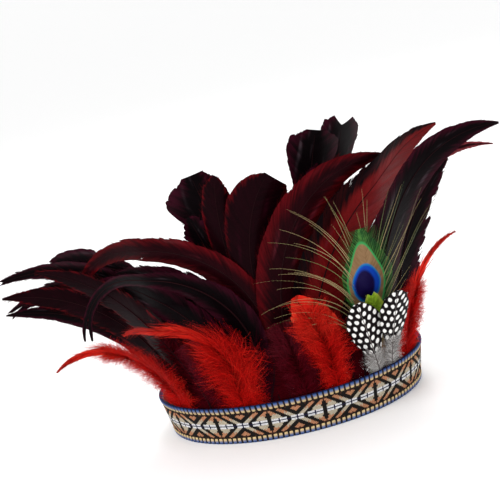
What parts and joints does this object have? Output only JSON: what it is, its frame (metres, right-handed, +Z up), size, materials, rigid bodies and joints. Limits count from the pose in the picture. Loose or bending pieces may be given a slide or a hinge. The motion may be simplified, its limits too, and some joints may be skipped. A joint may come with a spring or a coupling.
{
  "type": "feathered headdress",
  "caption": "Feathered headdress: a woven ribbon band, open for the head, carrying a fan of curved dyed tail feathers, red hackles, spotted feathers and a peacock eye feather.",
  "frame": {"origin": "middle of the head opening, on the plane of the band's lower edge", "axes": "+Z up out of the head opening, -Y towards the side that carries the feathers, +X to the right seen from that side, along the longest extent"},
  "size_m": [0.4052, 0.2554, 0.2103],
  "materials": {
    "woven_ribbon": "jacquard ribbon of black, tan, cream, white and navy with stitched edges",
    "black_feather": "glossy near-black feather with a burgundy tint",
    "burgundy_feather": "glossy dark red dyed feather",
    "red_feather": "soft bright red dyed feather and down",
    "spotted_feather": "black feather with white spots and grey down",
    "lime_feather": "lime green dyed feather",
    "peacock_feather": "iridescent green and bronze feather with a blue eye"
  },
  "bodies": {
    "root": {"woven_band": "woven_ribbon", "spotted_feather_right": "spotted_feather", "spotted_feather_left": "spotted_feather", "lime_feather": "lime_feather", "peacock_eye_feather": "peacock_feather", "red_hackle_right": "red_feather", "red_hackle_middle": "red_feather", "red_hackle_left": "red_feather", "red_down_feather": "red_feather", "burgundy_down_feather": "burgundy_feather", "burgundy_down_feather_left": "burgundy_feather", "forked_tail_feather": "black_feather", "red_sickle_feather": "red_feather", "burgundy_sickle_feather": "burgundy_feather", "left_sickle_feather": "burgundy_feather", "right_sickle_feather": "black_feather", "left_tail_feather_1": "burgundy_feather", "left_tail_feather_2": "black_feather", "left_tail_feather_3": "black_feather", "left_tail_feather_4": "black_feather", "left_tail_feather_5": "burgundy_feather", "left_tail_feather_6": "black_feather", "left_tail_feather_7": "black_feather", "left_tail_feather_8": "black_feather", "left_tail_feather_9": "black_feather", "middle_tail_feather_1": "burgundy_feather", "middle_tail_feather_2": "burgundy_feather", "middle_tail_feather_3": "black_feather", "middle_tail_feather_4": "black_feather", "middle_tail_feather_5": "black_feather", "high_tail_feather_1": "black_feather", "high_tail_feather_2": "black_feather", "right_tail_feather_1": "black_feather", "right_tail_feather_2": "red_feather", "right_tail_feather_3": "black_feather"}
  },
  "joints": []
}
